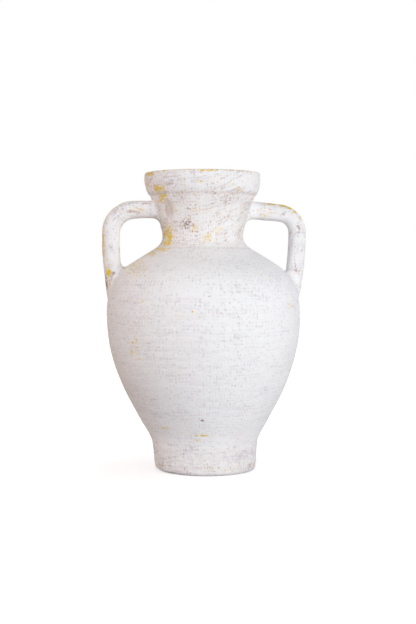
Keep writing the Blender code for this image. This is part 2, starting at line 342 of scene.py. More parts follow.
# Creases round the pot: middle, half width, depth, and the steady and the patchy share of the depth
SEAM_CREASES = (
    (RIM_SEAM - 0.0004, 0.0024, 0.0007, 0.65, 0.6),
    (NECK_SEAM - 0.0008, 0.0016, 0.0005, 0.7, 0.6),
    (FOOT_SEAM + 0.002, 0.002, 0.0003, 0.5, 0.5),
)
RIM_GROOVE = (RIM_SEAM + 0.0105, 0.0024, 0.0006, 0.5, 0.6)

# Where the handles were thumbed onto the neck: the handle's angle, the way round from it and how strongly
THUMBED = ((180.0, 1.0, 1.0), (180.0, -1.0, 0.5), (0.0, 1.0, 0.45), (0.0, -1.0, 0.4))
THUMB_FADE = (0.0185, 0.0055)
THUMB_EDGE = 0.0535
THUMB_EDGE_SLANT = 0.13
THUMB_TURN_START = (-2.0, 6.0)
THUMB_TURN_END = (100.0, 80.0)
PAD_END = (0.0006, -0.0012)
DENT_START = (-0.0004, 0.0008)
DENT_END = (0.016, 0.005)


def thumbed(angle, height):
    """Pads of clay wiped round from the handles and the dents of the thumbs that wiped them, from 0 to 1."""
    pads = np.zeros(np.broadcast(angle, height).shape)
    dents = np.zeros(pads.shape)
    upright = smooth_step(*THUMB_FADE, np.abs(height - HANDLE_HEIGHT))
    edge = THUMB_EDGE + THUMB_EDGE_SLANT * (height - HANDLE_HEIGHT)
    for side, way, strength in THUMBED:
        turn = (way * (np.degrees(angle) - side) + 180.0) % 360.0 - 180.0
        past = edge - outer_radius(height) * np.cos(np.radians(turn))
        on_side = smooth_step(*THUMB_TURN_START, turn) * smooth_step(*THUMB_TURN_END, turn)
        pressed = strength * upright * on_side
        pads += pressed * smooth_step(*PAD_END, past)
        dents += pressed * smooth_step(*DENT_START, past) * smooth_step(*DENT_END, past)
    return pads, dents


def crease(height, patch, middle, half_width, depth, steady, patchy):
    """How deep a crease is at a height, where the patch, from -1 to 1, lets it come and go."""
    return depth * bell(height, middle, half_width) * (steady + patchy * patch)


def relief(angle, height):
    """How far the outside of the pot stands out from its true outline, by angle and height."""
    radius = outer_radius(height)
    points = around_axis(radius, angle, height)
    patch = swells(points, PATCHES)
    rings = np.sin(2 * math.pi * height / RING_SPACING + swells(points, RING_WANDER))
    out = swells(points, LUMPS) + RING_RISE * rings * (RING_STEADY + RING_PATCHY * patch)
    out = out + smooth_step(*BRUSH_ZONE, height) * swells(points, BRUSH_MARKS)
    for sizes in SEAM_CREASES:
        out = out - crease(height, patch, *sizes)
    out = out - crease(height, swells(points, GROOVE_PATCHES), *RIM_GROOVE)
    out = out + FOOT_SWELL * smooth_step(*FOOT_SWELL_ZONE, height) - WAIST_DEPTH * bell(height, *WAIST_LINE)
    worn_side = smooth_step(*FOOT_WEAR_SIDE, -np.cos(angle))
    out = out - FOOT_WEAR_DEPTH * bell(height, *FOOT_WEAR_LINE) * worn_side
    chips = np.clip(swells(points, CHIPS) - CHIP_LEVEL, 0.0, 1.0)
    chipped = bell(height, *FOOT_CHIP_LINE) + LIP_CHIP_SHARE * bell(height, *LIP_CHIP_LINE)
    pads, dents = thumbed(angle, height)
    return out - CHIP_DEPTH * chips * chipped + PAD_RISE * pads - DENT_DEPTH * dents


def wall_radius(angle, height):
    return outer_radius(height) + relief(angle, height)


def leaned(points):
    """The lean of the pot and the tilt of its mouth, given to points shaped upright."""
    x, y, z = np.moveaxis(points, -1, 0)
    lean = LEAN_SLOPE * z - LEAN_EASE * z**2
    tilt = MOUTH_TILT * x * smooth_step(NECK_SEAM, RIM_SEAM, z)
    return joined(x - lean, y, z - tilt)


# Wear, smears and painted shade. Each patch has its middle and half sizes across and up, in millimetres as
# seen in the photograph, and how strongly the coat is rubbed through, smeared or shaded there
OCHRE_PATCHES = (
    # Rim
    (-61, 379, 11, 10, 0.42), (-57, 367, 9, 9, 0.40), (-64, 380, 7, 6.5, 0.54),
    (-56, 371, 6, 2.2, 0.66), (-60, 363, 4, 2.4, 0.60), (-74, 399, 7, 2.6, 0.62),
    (-78, 386, 2.6, 14, 0.34), (-8, 389, 8, 2, 0.42), (3, 404.5, 14, 2.5, 0.46),
    (34, 385, 8, 6, 0.26), (46, 378, 5, 5, 0.32),
    # Neck
    (-50, 318, 11, 19, 0.44), (-48, 314, 5, 12, 0.60), (-51, 306, 9, 5, 0.54),
    (-59, 298, 12, 4, 0.46), (-42, 352, 8, 8, 0.28), (-5, 352, 26, 8, 0.24),
    (-15, 327, 8, 9, 0.33), (3, 314, 9, 9, 0.38), (16, 324, 9, 10, 0.32),
    # Left handle
    (-131, 268, 5, 14, 0.45), (-130.5, 267, 2.8, 8, 0.74), (-129, 252, 3, 6, 0.40),
    (-138, 302, 2.4, 44, 0.47), (-100, 351, 6, 5, 0.32), (-88, 350, 14, 8, 0.24),
    # Right handle
    (80, 346, 16, 9, 0.25), (89, 358.8, 12, 1.8, 0.54), (104, 357.2, 11, 1.9, 0.60),
    (114.5, 353.8, 8, 2.1, 0.66), (122, 348.8, 5, 2.7, 0.60), (128.5, 341, 3, 5, 0.50),
    # Shoulder and belly
    (-75, 292, 16, 5, 0.36), (-96, 274, 26, 18, 0.28), (60, 255, 46, 20, 0.09),
    (116, 221, 7, 9, 0.22), (-82, 229, 5, 3, 0.36), (-78, 214, 4, 2, 0.30),
    (-104, 186, 6, 4, 0.26), (-96, 185, 22, 46, 0.14), (-96, 171, 9, 3, 0.34),
    (-98, 158, 8, 5, 0.36), (-88, 149, 7, 2.5, 0.30), (-16.6, 213, 1.6, 1.8, 0.55),
    (42.5, 186, 1.8, 2.6, 0.42),
    # Foot
    (-55, 55.5, 8, 2, 0.40), (-5, 45.3, 15, 1.6, 0.54), (-8, 39, 12, 3, 0.30),
)
MAUVE_PATCHES = (
    # Rim
    (-66, 394, 9, 4, 0.50), (14, 373, 4, 1.8, 0.74), (46, 378, 5, 5, 0.60),
    # Neck
    (-25, 332, 16, 12, 0.90), (-20, 323, 10, 4.5, 0.76), (8, 320, 18, 11, 0.62),
    (42, 330, 10, 15, 0.42), (-14, 304, 30, 4, 0.52), (-71, 294, 4, 2.5, 0.76),
    # Left handle
    (-81, 359, 10, 2.4, 0.60), (-88, 349, 14, 8, 0.40), (-101, 347, 5, 6, 0.56),
    (-126, 304, 4, 17, 0.44), (-126, 264, 5, 8, 0.54), (-133.6, 253, 2.6, 17, 0.82),
    # Right handle
    (84, 351, 16, 6, 0.52), (87, 358.6, 12, 2, 0.58), (98, 346, 26, 10, 0.36),
    (106, 345, 10, 4, 0.50), (125, 327, 4, 6, 0.58), (120, 300, 5, 30, 0.26),
    (123, 268, 3, 8, 0.60),
    # Shoulder and belly
    (-103, 253, 12, 7, 0.44), (70, 262, 42, 14, 0.18), (116, 221, 7, 10, 0.44),
    (5.5, 234, 3, 1.6, 0.90), (-16.6, 218, 1.6, 2, 0.84), (-19.9, 207, 1.6, 1.8, 0.86),
    (-54, 191, 24, 1.6, 0.30), (40.5, 182, 1.6, 4, 0.72), (44, 176.5, 2, 1.8, 0.86),
    # Above the foot
    (-4, 66, 3.4, 3, 1.10),
)
# Smears. The one low on the left of the foot is painted shade, over some brown scuffing
SMEARS_AND_SHADE = (
    (-63, 345, 8, 30, 0.20), (-70, 292, 14, 5, 0.25), (-122, 246, 14, 16, 0.20),
    (-72, 14, 13, 14, 0.40), (94, 346, 30, 14, 0.16),
)
FRONT_FADE = (0.006, -0.002)
BACK_FADE = (0.018, 0.030)

# Wear of the rings by place: in ochre, in mauve and by smears. The smears along the creases and over the
# whole foot are painted shade, and those in the thumb dents are dirt with painted shade. A line round the pot
# has a middle and a half width, and a zone fades in from one height to another
PLACE_WEAR_AND_SHADE = {
    "lip": (0.34, 0.46, 0.0),
    # Along the rim's crease the smear is painted shade, and the ochre and mauve are wear
    "rim_crease_wear_and_shade": (0.16, 0.44, 0.30),
    # Along the neck's crease only painted shade
    "neck_crease_shade": (0.0, 0.0, 0.32),
    "foot_edge": (0.16, 0.68, 0.20),
    # In the thumb dents, dirt with painted shade
    "thumbed": (0.0, 0.0, 0.56),
    # The whole foot darkened, as painted shade
    "foot": (0.0, 0.0, 0.26),
}
NECK_WEAR = (0.14, 0.49, 0.06)
LESS_ON_RIM = (0.05, 0.06, 0.02)
SHOULDER_WEAR = (0.03, 0.12, 0.0)
WEAR_EVERYWHERE = (0.0, 0.02, 0.0)
WEAR_HELD_BACK = (0.0, 0.32, 0.0)
WEAR_AND_SHADE_LINES = {
    "lip": (LIP - 0.0004, 0.0016),
    "rim_crease_wear_and_shade": (RIM_SEAM, 0.0026),
    "neck_crease_shade": (NECK_SEAM - 0.0005, 0.0015),
    "foot_edge": (0.010, 0.008),
}
NECK_ZONE = (NECK_SEAM - 0.004, NECK_SEAM + 0.006)
RIM_ZONE = (RIM_SEAM - 0.002, RIM_SEAM + 0.004)
SHOULDER_ZONE = (BELLY_SEAM, NECK_SEAM - 0.02)
FOOT_SHADE_ZONE = (FOOT_SEAM + 0.010, FOOT_SEAM - 0.012)
BARE_ZONE = (NECK_SEAM + 0.05, NECK_SEAM + 0.01)
FOOT_SCUFF = 0.72
FOOT_SCUFFS = ((0.6, 55.0, 11),)

# Wear of the handles and lutes: along the handles' backs, and what they have everywhere
BACK_OCHRE = 0.30
BACK_MAUVE = 0.26
HANDLE_OCHRE = 0.09
HANDLE_MAUVE = 0.11
LUTE_OCHRE = 0.05
LUTE_MAUVE = 0.04
MAUVE_HELD_BACK = 0.16
BACK_TURN = (0.75, 0.98)
BACK_END = (0.01, 0.09)
BACK_SCUFF = 0.70
BACK_SCUFFS = ((0.7, 40.0, 3),)


def worn(points, patches, all_round=False):
    """How strongly these patches of wear, smear and painted shade lie, in front and, mirrored, behind.

    Those that go all round lie as far to the left or right behind as in front.
    """
    turn = math.radians(CAMERA_AZIMUTH)
    x, y, z = np.moveaxis(points, -1, 0)
    towards = x * math.sin(turn) - y * math.cos(turn)
    nearer = CAMERA_DISTANCE / (CAMERA_DISTANCE - np.abs(towards))
    across = (x * math.cos(turn) + y * math.sin(turn)) * nearer
    seen_height = CAMERA_HEIGHT + (z - CAMERA_HEIGHT) * nearer
    in_front = smooth_step(*FRONT_FADE, y)
    at_back = smooth_step(*BACK_FADE, y)
    total = np.zeros(points.shape[:-1])
    for middle, height, half_across, half_up, strength in patches:
        up = bell(seen_height, height / 1000, half_up / 1000)
        front = bell(across, middle / 1000, half_across / 1000)
        behind = bell(across, -middle / 1000, half_across / 1000)
        either = front if all_round else front * in_front + behind * at_back
        total = np.maximum(total, strength * up * either)
    return total


def patch_wear_and_shade(points):
    return {
        "ochre": worn(points, OCHRE_PATCHES),
        "mauve": worn(points, MAUVE_PATCHES),
        # Smears, and painted shade
        "smear_and_shade": worn(points, SMEARS_AND_SHADE, True),
    }


def ring_wear_and_shade(points, is_outside, wiped):
    """Wear and painted shade of a ring: its patches, its edges and seams, and what a whole stretch of the pot
    has.
    """
    height = points[..., 2]
    on_neck = smooth_step(*NECK_ZONE, height)
    on_rim = smooth_step(*RIM_ZONE, height)
    on_shoulder = smooth_step(*SHOULDER_ZONE, height) * (1.0 - on_neck)
    scuffed = np.clip(FOOT_SCUFF + swells(points, FOOT_SCUFFS), 0.0, 1.0)
    places = {place: bell(height, *line) for place, line in WEAR_AND_SHADE_LINES.items()}
    places["foot_edge"] = places["foot_edge"] * scuffed
    places["thumbed"] = wiped
    # The foot's painted shade
    places["foot"] = smooth_step(*FOOT_SHADE_ZONE, height)
    wear = {}
    for kind, (name, patch) in enumerate(patch_wear_and_shade(points).items()):
        levels = [PLACE_WEAR_AND_SHADE[place][kind] * share for place, share in places.items()]
        levels.append(NECK_WEAR[kind] * on_neck - LESS_ON_RIM[kind] * on_rim)
        levels.append(WEAR_EVERYWHERE[kind] + SHOULDER_WEAR[kind] * on_shoulder)
        most = np.maximum.reduce([patch, *levels])
        wear[name] = (most - WEAR_HELD_BACK[kind]) * is_outside[:, None]
    return wear


def pulled_wear(points, least_ochre, least_mauve):
    """Wear of a handle or a lute: its patches, and at least the level that it has without them."""
    wear = patch_wear_and_shade(points)
    wear["ochre"] = np.maximum(wear["ochre"], least_ochre)
    wear["mauve"] = np.maximum(wear["mauve"], least_mauve) - MAUVE_HELD_BACK
    return {**wear, "bare": np.zeros(points.shape[:-1])}


# Meshes


def new_object(name, data):
    made = bpy.data.objects.new(name, data)
    bpy.context.scene.collection.objects.link(made)
    return made


def new_piece(node, points, faces, uvs, attributes, sharp):
    """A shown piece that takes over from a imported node, in the coat that the last word of its name says."""
    mesh = bpy.data.meshes.new(node + "_looks")
    mesh.from_pydata(points.reshape(-1, 3).tolist(), [], faces)
    layer = mesh.uv_layers.new(name="OFBake")
    layer.data.foreach_set("uv", np.asarray(uvs, dtype=np.float32).ravel())
    for key, values in attributes.items():
        kind, field = ("FLOAT_VECTOR", "vector") if key == "chart" else ("FLOAT", "value")
        attribute = mesh.attributes.new(key, kind, "POINT")
        attribute.data.foreach_set(field, np.asarray(values, dtype=np.float32).ravel())
    mesh.shade_smooth()
    mesh.set_sharp_from_angle(angle=math.radians(sharp))
    mesh.materials.append(COATS[node.split("_")[-1]])
    piece = new_object(node + "_looks", mesh)
    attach(piece, "root")
    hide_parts(node)


def grid_faces(rows, columns, close_rows):
    """Quads over a grid whose columns close on themselves, and the row and column of each."""
    row, column = np.meshgrid(np.arange(rows if close_rows else rows - 1), np.arange(columns), indexing="ij")
    row, column = row.ravel(), column.ravel()
    below, beside = (row + 1) % rows, (column + 1) % columns
    quads = np.stack([row * columns + column, below * columns + column, below * columns + beside,
                      row * columns + beside], axis=1)
    return quads, row, column


# UV maps. A ring has two tall strips for its outside over a low one for the rest, and its floor's discs lie
# in the margin between them. A handle has its end caps in a strip below its skin
STRIP_MARGIN = 0.008
LOW_STRIP = 0.22
TALL_STRIP = 0.39
DISC_SIZE = 0.004
DISC_PLACES = ((0.4, LOW_STRIP), (0.6, LOW_STRIP))
CAP_STRIP = 0.2
CAP_SIZE = 0.08
CAP_PLACES = ((0.1, CAP_STRIP / 2), (0.35, CAP_STRIP / 2))


def uv_lines(count, low=STRIP_MARGIN):
    """Evenly spaced lines of a map, from a low edge to the margin at the high one."""
    return low + (1 - STRIP_MARGIN - low) * np.arange(count + 1) / count


def quad_uvs(left, right, top, bottom):
    """UVs of quads from their four sides, in the order of their corners."""
    corners = [(left, top), (left, bottom), (right, bottom), (right, top)]
    return np.stack([joined(*corner) for corner in corners], axis=1)


def strip_uvs(row, column, place, outside):
    """Two half-turn strips for the outside and one whole-turn strip for the rest of a ring."""
    half = TURN_STEPS // 2
    second = column >= half
    base = np.where(outside, np.where(second, LOW_STRIP, LOW_STRIP + TALL_STRIP), 0.0)
    tall = np.where(outside, TALL_STRIP, LOW_STRIP) - 2 * STRIP_MARGIN
    top, bottom = (base + STRIP_MARGIN + tall * place[line] for line in (row, row + 1))
    sides = []
    for line in (column, column + 1):
        side = np.where(outside, (line - half * second) / half, line / TURN_STEPS)
        sides.append(STRIP_MARGIN + (1 - 2 * STRIP_MARGIN) * side)
    return quad_uvs(*sides, top, bottom)


def row_places(outline, outside):
    """How far each row lies along its own stretch, from 0 to 1, with one more entry for the closing row."""
    gone = lengths_along(np.vstack([outline, outline[:1]]))
    place = np.zeros(len(gone))
    turns = np.flatnonzero(np.diff(outside.astype(int))) + 1
    for start, end in zip([0, *turns], [*turns, len(outline)]):
        span = gone[end] - gone[start]
        place[start:end + 1] = (gone[start:end + 1] - gone[start]) / span
    return place


# Thrown rings. Their coats lie on a chart: a cylinder of this radius, unrolled up along the outline. On the
# right half of the neck and rim the brush rose at a slant
CHART_RADIUS = 0.105
BRUSH_SLANT = {"neck": 0.36, "rim": 0.42}
SLANT_EASE = 0.03
ANGLES = full_turn(TURN_STEPS) + math.pi / 2
GROOVE_RISE = 0.0005
GROOVE_SPACING = 0.011
GROOVES_ABOVE_FLOOR = 0.004
NEAR_WALL = 0.0005
DISC_RADIUS = 0.0015


def ring_points(outline, is_outside):
    """Points of a ring: uneven outside, grooved by fingers on the wall inside, and plain at the seams."""
    radius, height = outline[:, :1], outline[:, 1:]
    out = np.where(is_outside[:, None], relief(ANGLES[None, :], height), 0.0)
    grooves = GROOVE_RISE * np.sin(2 * math.pi * height / GROOVE_SPACING + ANGLES[None, :])
    on_wall = (np.abs(radius - inner_radius(height)) < NEAR_WALL) & (height > FLOOR + GROOVES_ABOVE_FLOOR)
    grooved = (~is_outside)[:, None] & on_wall
    radius = radius + out + np.where(grooved, grooves, 0.0)
    return leaned(around_axis(radius, ANGLES, height))


def ring_chart(node, outline):
    """Where the points of a ring lie on the chart."""
    across = CHART_RADIUS * np.cos(ANGLES)
    slant = BRUSH_SLANT.get(node, 0.0) * (across + np.hypot(across, SLANT_EASE)) / 2
    up = outline[:1, 1:] - lengths_along(outline)[:, None] - slant
    return around_axis(CHART_RADIUS, ANGLES, up)


def with_floor(quads, uvs, row, floor_row):
    """Faces and UVs of a ring whose quads along one row give way to a flat disc on each side of it."""
    around = np.arange(TURN_STEPS)
    under, over = floor_row * TURN_STEPS + around[::-1], (floor_row + 1) * TURN_STEPS + around
    disc = around_axis(DISC_SIZE, ANGLES)
    disc_uvs = [disc[::-1] * (-1, 1) + DISC_PLACES[0], disc + DISC_PLACES[1]]
    kept = row != floor_row
    faces = quads[kept].tolist() + [under.tolist(), over.tolist()]
    return faces, np.vstack([uvs[kept].reshape(-1, 2), *disc_uvs])


def thrown_ring(node, outside, rest, floor_row=None):
    """A ring turned from its outside rows, from the top down, and the rest of its outline."""
    outline = np.vstack([outside, rest])
    is_outside = np.arange(len(outline)) < len(outside)
    height = outline[:, 1:]
    points = ring_points(outline, is_outside)
    quads, row, column = grid_faces(len(outline), TURN_STEPS, True)
    face_outside = is_outside[row] & is_outside[(row + 1) % len(outline)]
    faces, uvs = quads.tolist(), strip_uvs(row, column, row_places(outline, is_outside), face_outside)
    if floor_row is not None:
        faces, uvs = with_floor(quads, uvs, row, floor_row)
    bare = (~is_outside)[:, None] * smooth_step(*BARE_ZONE, height)
    attributes = {
        "bare": np.broadcast_to(bare, points.shape[:-1]),
        "chart": ring_chart(node, outline),
        **ring_wear_and_shade(points, is_outside, thumbed(ANGLES[None, :], height)[1]),
    }
    new_piece(node, points, faces, uvs, attributes, RING_SHARP)


def foot_ring():
    under = even(np.array([(FOOT_RADIUS - FOOT_ROUND, 0.0), (DISC_RADIUS, 0.0)]), INNER_ROW)
    bowl_wall = inner_wall(FLOOR + FLOOR_ROUND, FOOT_SEAM)
    bowl_centre = (bowl_wall[0, 0] - FLOOR_ROUND, FLOOR + FLOOR_ROUND)
    bowl = arc(bowl_centre, FLOOR_ROUND, -90.0, 0.0, ROUND_POINTS)
    floor = even(np.array([(DISC_RADIUS, FLOOR), tuple(bowl[0])]), INNER_ROW)
    inside = np.vstack([under[1:], floor, bowl[1:], bowl_wall[1:], seam_key(FOOT_SEAM, 0.0)])
    outside = even(foot_wall(), FINE_ROW)[::-1]
    thrown_ring("foot", outside, inside, len(outside) + len(under) - 2)


def rim_ring():
    mouth = RIM_RADIUS - LIP_WIDTH
    edge = arc((mouth + LIP_ROUND, LIP - LIP_ROUND), LIP_ROUND, 180.0, 90.0, ROUND_POINTS)
    inside = even(np.array([(inner_radius(RIM_SEAM), RIM_SEAM), tuple(edge[0])]), INNER_ROW)
    rest = [seam_key(RIM_SEAM, SEAM_GAP)[::-1], inside, edge[1:]]
    thrown_ring("rim", even(rim_wall(), FINE_ROW)[::-1], np.vstack(rest))


def thrown_rings():
    foot_ring()
    for node, slot, wall, low, high in (
        ("lower_belly", "body_limewash", lower_belly_wall, FOOT_SEAM, BELLY_SEAM),
        ("shoulder", "body_limewash", shoulder_wall, BELLY_SEAM, NECK_SEAM),
        ("neck", "neck_limewash", neck_wall, NECK_SEAM, RIM_SEAM),
    ):
        rest = [seam_key(low, SEAM_GAP)[::-1], inner_wall(low, high), seam_key(high, 0.0)]
        thrown_ring(node, even(wall(), ROW)[::-1], np.vstack(rest))
    rim_ring()


# Handles and lutes, shaped on the right and then turned to their side
HANDLE_CHART_RADIUS = 0.0125
HANDLE_LUMPS = ((0.0006, 38.0, 0), (0.0003, 105.0, 1))
LUTE_LUMPS = ((0.0004, 90.0, 7),)
SLOPE_STEP = 0.0008


def handle_path(reach, droop, bend_radius):
    """The centreline: out from the neck, round the bend, then down a slow arc into the shoulder."""
    fall = math.radians(droop)
    slope = math.tan(fall)
    neck_radius = outer_radius(HANDLE_HEIGHT)
    inside_neck = THROAT_RADIUS - WALL / 2
    start = (inside_neck, HANDLE_HEIGHT + (neck_radius - inside_neck) * slope)
    bend_middle = reach - HANDLE_HALF - bend_radius
    bend_start = bend_middle + bend_radius * math.sin(fall)
    bend_top = HANDLE_HEIGHT - (bend_start - neck_radius) * slope
    bend_centre = (bend_middle, bend_top - bend_radius * math.cos(fall))
    bend = arc(bend_centre, bend_radius, 90.0 - droop, 0.0)
    root_height = BELLY_SEAM + HANDLE_ROOT_RISE
    root_radius = outer_radius(root_height) - HANDLE_ROOT_DEPTH - HANDLE_HALF
    inward, down = bend[-1] - (root_radius, root_height)
    side_radius = (inward**2 + down**2) / (2 * inward)
    side_sweep = 2 * math.degrees(math.atan2(inward, down))
    side = arc((bend[-1, 0] - side_radius, bend[-1, 1]), side_radius, 0.0, -side_sweep)
    return even(np.vstack([[start], bend, side[1:]]), HANDLE_ROW)


def handle_skin(path, around, seed):
    """Points of the handle's skin, by place on its path and angle round it, and their outward directions."""
    way = unit(np.gradient(path, axis=0))
    power = 2.0 / np.where(np.cos(around) > 0.0, OUTER_SQUARENESS, INNER_SQUARENESS)
    up, across = (np.sign(part) * np.abs(part) ** power for part in (np.cos(around), np.sin(around)))
    normal = joined(-way[:, 1], 0.0, way[:, 0])
    middle = joined(path[:, 0], 0.0, path[:, 1])
    sideways = (0.0, 1.0, 0.0)
    skin = middle[:, None] + HANDLE_HALF * up[None, :, None] * normal[:, None]
    skin = skin + HANDLE_BREADTH / 2 * across[None, :, None] * sideways
    outward = np.cos(around)[None, :, None] * normal[:, None] + np.sin(around)[None, :, None] * sideways
    return skin + swells(skin, HANDLE_LUMPS, seed)[..., None] * outward, outward


def outside_by(points):
    """How far points stand outside the pot's wall."""
    x, y, z = np.moveaxis(points, -1, 0)
    return np.hypot(x, y) - wall_radius(np.arctan2(y, x), z)


def onto_wall(points, depth):
    """Points moved level onto the wall, or under its skin by a depth."""
    x, y, z = np.moveaxis(points, -1, 0)
    angle = np.arctan2(y, x)
    return around_axis(wall_radius(angle, z) - depth, angle, z)


def wall_normal(points):
    """Outward directions of the wall."""
    steps = SLOPE_STEP * np.eye(3)
    return unit(joined(*[outside_by(points + step) - outside_by(points - step) for step in steps]))


def turned_to_side(points, side):
    """Points shaped on the right, turned half round the pot's axis where their side is the left."""
    return points * (-1.0, -1.0, 1.0) if side == "left" else points


def handle(side, path, seed):
    around = full_turn(SECTION_STEPS)
    skin = handle_skin(path, around, seed)[0]
    clear = np.flatnonzero((outside_by(skin) > -HANDLE_SUNK).any(axis=1))
    points = leaned(turned_to_side(skin[clear[0]:clear[-1] + 1], side))
    rows, columns = points.shape[:2]
    quads, row, column = grid_faces(rows, columns, False)
    caps = [list(range(columns)), list(range(rows * columns - 1, (rows - 1) * columns - 1, -1))]
    along, across = uv_lines(rows), uv_lines(columns, CAP_STRIP)
    skin_uvs = quad_uvs(across[column], across[column + 1], along[row], along[row + 1])[..., ::-1]
    disc = around_axis(CAP_SIZE, around)
    uvs = np.vstack([skin_uvs.reshape(-1, 2), *[disc + place for place in CAP_PLACES]])

    length = HANDLE_ROW * np.arange(rows)[:, None]
    back = smooth_step(*BACK_TURN, np.cos(around))[None, :] * smooth_step(*BACK_END, length[-1] - length)
    back = back * np.clip(BACK_SCUFF + swells(points, BACK_SCUFFS, seed), 0.0, 1.0)
    least_ochre = np.maximum(BACK_OCHRE * back, HANDLE_OCHRE)
    least_mauve = np.maximum(BACK_MAUVE * back, HANDLE_MAUVE)
    # The seed sets the two handles' charts apart, so that their coats differ
    chart = around_axis(HANDLE_CHART_RADIUS, around, length) + (0.0, seed, 0.0)
    attributes = {**pulled_wear(points, least_ochre, least_mauve), "chart": chart}
    faces = quads.tolist() + caps
    new_piece(side + "_handle", points, faces, uvs, attributes, HANDLE_SHARP)


def lute_loop(path, at_neck, sizes, seed):
    """Rows of a lute: those of its fillet, from the handle to the wall, and one more hidden in the joint."""
    around = full_turn(LUTE_STEPS)
    skin, outward = handle_skin(path, around, seed)
    if not at_neck:
        skin, outward = skin[::-1], outward[::-1]
    first = np.argmax(outside_by(skin) > 0.0, axis=0)
    column = np.arange(LUTE_STEPS)
    corner, handle_out = skin[first, column], outward[first, column]
    wall_out = wall_normal(corner)
    spread = handle_out - (handle_out * wall_out).sum(axis=1, keepdims=True) * wall_out
    steepness = np.linalg.norm(spread, axis=1)
    outer, flank, inner = sizes
    facing = np.cos(around)
    size = flank + (np.where(facing > 0.0, outer, inner) - flank) * facing**2
    size = np.maximum(size * steepness, LEAST_LUTE)
    run = size if at_neck else SHOULDER_LUTE_RUN * size
    last = np.clip(first + np.maximum(1, np.round(run / HANDLE_ROW)).astype(int), 0, len(skin) - 1)
    on_handle = skin[last, column] - LUTE_SUNK * outward[last, column]
    reach = size / np.maximum(steepness, LEAST_SPREAD)
    on_wall = onto_wall(corner + spread * reach[:, None], LUTE_SUNK)
    t = np.linspace(0.0, 1.0, FILLET_STEPS)[:, None, None]
    fillet = (1 - t) ** 2 * on_handle + 2 * (1 - t) * t * corner + t**2 * on_wall
    lumps = swells(fillet, LUTE_LUMPS, seed) * np.sin(math.pi * t[..., 0])
    fillet = fillet + lumps[..., None] * (handle_out + wall_out)
    hidden = corner - LUTE_DEPTH * (handle_out + wall_out)
    return np.concatenate([fillet, hidden[None]])


def lute(side, node, path, at_neck, sizes, seed):
    """A fillet of soft clay between the handle and the wall of the neck or of the shoulder."""
    points = leaned(turned_to_side(lute_loop(path, at_neck, sizes, seed), side))
    rows, columns = points.shape[:2]
    quads, row, column = grid_faces(rows, columns, True)
    across, up = uv_lines(columns), uv_lines(rows)
    uvs = quad_uvs(across[column], across[column + 1], up[row], up[row + 1])
    if at_neck:
        quads, uvs = quads[:, ::-1], uvs[:, ::-1]
    attributes = {**pulled_wear(points, LUTE_OCHRE, LUTE_MAUVE), "chart": points}
    new_piece(node, points, quads.tolist(), uvs, attributes, LUTE_SHARP)


def handles_and_lutes():
    for side, shape, shoulder_lute, seed in HANDLES:
        path = handle_path(*shape)
        handle(side, path, seed)
        lute(side, side + "_neck_lute", path, True, NECK_LUTE, seed)
        lute(side, side + "_shoulder_lute", path, False, shoulder_lute, seed)


# Materials


class Nodes:
    """Builds a node tree, a node at a time."""

    def __init__(self, tree):
        self.tree = tree

    def feed(self, node, inputs):
        """Gives a node's inputs, by name or number, a value or what another node puts out."""
        for key, value in inputs.items():
            if isinstance(value, bpy.types.NodeSocket):
                self.tree.links.new(value, node.inputs[key])
            else:
                node.inputs[key].default_value = value

    def node(self, kind, inputs, **settings):
        made = self.tree.nodes.new(kind)
        for key, value in settings.items():
            setattr(made, key, value)
        self.feed(made, inputs)
        return made

    def calc(self, operation, *values):
        return self.node("ShaderNodeMath", dict(enumerate(values)), operation=operation).outputs[0]

    def plus(self, value, *others):
        """A value with others added to it, each given as its share and itself."""
        for share, other in others:
            value = self.calc("MULTIPLY_ADD", other, share, value)
        return value

    def split(self, vector):
        """The X, Y and Z of a vector."""
        return self.node("ShaderNodeSeparateXYZ", {0: vector}).outputs.values()

    def step(self, value, low, high, out_low=0.0, out_high=1.0):
        inputs = {"Value": value, "From Min": low, "From Max": high, "To Min": out_low, "To Max": out_high}
        return self.node("ShaderNodeMapRange", inputs, interpolation_type="SMOOTHSTEP").outputs["Result"]

    def mix(self, share, first, second):
        inputs = {"Factor": share, 6: first, 7: second}
        return self.node("ShaderNodeMix", inputs, data_type="RGBA", clamp_factor=True).outputs[2]

    def attribute(self, name, output="Fac"):
        return self.node("ShaderNodeAttribute", {}, attribute_name=name).outputs[output]

    def seen_white(self):
        """1 for the rays that see white: the camera's, and those in a gloss or through glass."""
        rays = self.node("ShaderNodeLightPath", {}).outputs
        seen = self.calc("MAXIMUM", rays["Is Camera Ray"], rays["Is Glossy Ray"])
        return self.calc("MAXIMUM", seen, rays["Is Transmission Ray"])


class Coat(Nodes):
    """The node tree of a new material."""

    def __init__(self, name):
        self.material = bpy.data.materials.new(name)
        self.material.use_nodes = True
        super().__init__(self.material.node_tree)
        self.shader = self.tree.nodes["Principled BSDF"]


def srgb(red, green, blue):
    """A colour given as it looks on a screen, 0 to 255."""
    colour = []
    for level in (red / 255, green / 255, blue / 255):
        colour.append(level / 12.92 if level <= 0.04045 else ((level + 0.055) / 1.055) ** 2.4)
    return (*colour, 1.0)


CHALK = srgb(246, 245, 245)
WARM_CHALK = srgb(240, 236, 233)
COOL_GREY = srgb(201, 195, 200)
GREY_MAUVE = srgb(190, 175, 187)
# The colour of smears and of painted shade
SMEAR_AND_SHADE = srgb(200, 182, 172)
PALE_MAUVE = srgb(204, 178, 166)
MAUVE = srgb(170, 140, 138)
DARK_MAUVE = srgb(126, 100, 102)
PALE_ORANGE = srgb(240, 216, 176)
PALE_OCHRE = srgb(238, 216, 130)
RUST = srgb(206, 156, 98)
OCHRE = srgb(230, 188, 66)
STRONG_OCHRE = srgb(242, 208, 6)
CLAY = srgb(176, 122, 86)

